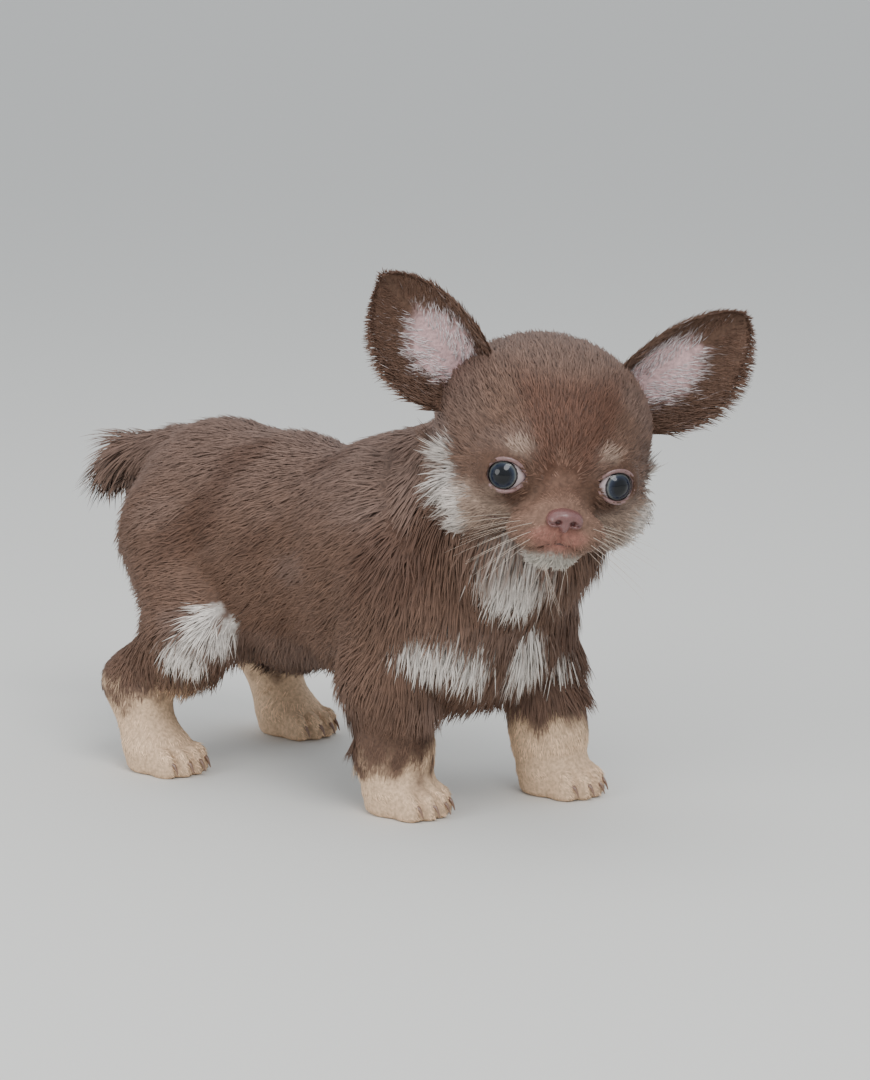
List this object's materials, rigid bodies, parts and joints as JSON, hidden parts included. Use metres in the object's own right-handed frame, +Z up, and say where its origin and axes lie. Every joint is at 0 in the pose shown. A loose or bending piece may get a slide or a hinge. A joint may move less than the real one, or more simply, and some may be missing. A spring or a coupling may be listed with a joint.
{
  "type": "chihuahua",
  "caption": "Long-haired chihuahua puppy standing with its head turned to its right, ears up and tail level, as a still life-size model.",
  "frame": {"origin": "on the floor, under the middle of the bounding box", "axes": "+Z up, the puppy faces -Y and its left side is +X"},
  "size_m": [0.099, 0.2618, 0.1776],
  "materials": {
    "coat": "soft chocolate fur with white and tan markings",
    "paws": "short tan fur",
    "ears": "short brown fur outside, pale pink skin inside",
    "eyes": "clear, wet, blue-grey iris",
    "nose": "moist pinkish brown leather"
  },
  "bodies": {
    "root": {"head": "coat", "eye_right": "eyes", "eye_left": "eyes", "nose": "nose", "ear_right": "ears", "ear_left": "ears", "neck": "coat", "torso": "coat", "tail": "coat", "foreleg_right": "coat", "forepaw_right": "paws", "hindleg_right": "coat", "hindpaw_right": "paws", "foreleg_left": "coat", "forepaw_left": "paws", "hindleg_left": "coat", "hindpaw_left": "paws"}
  },
  "joints": []
}
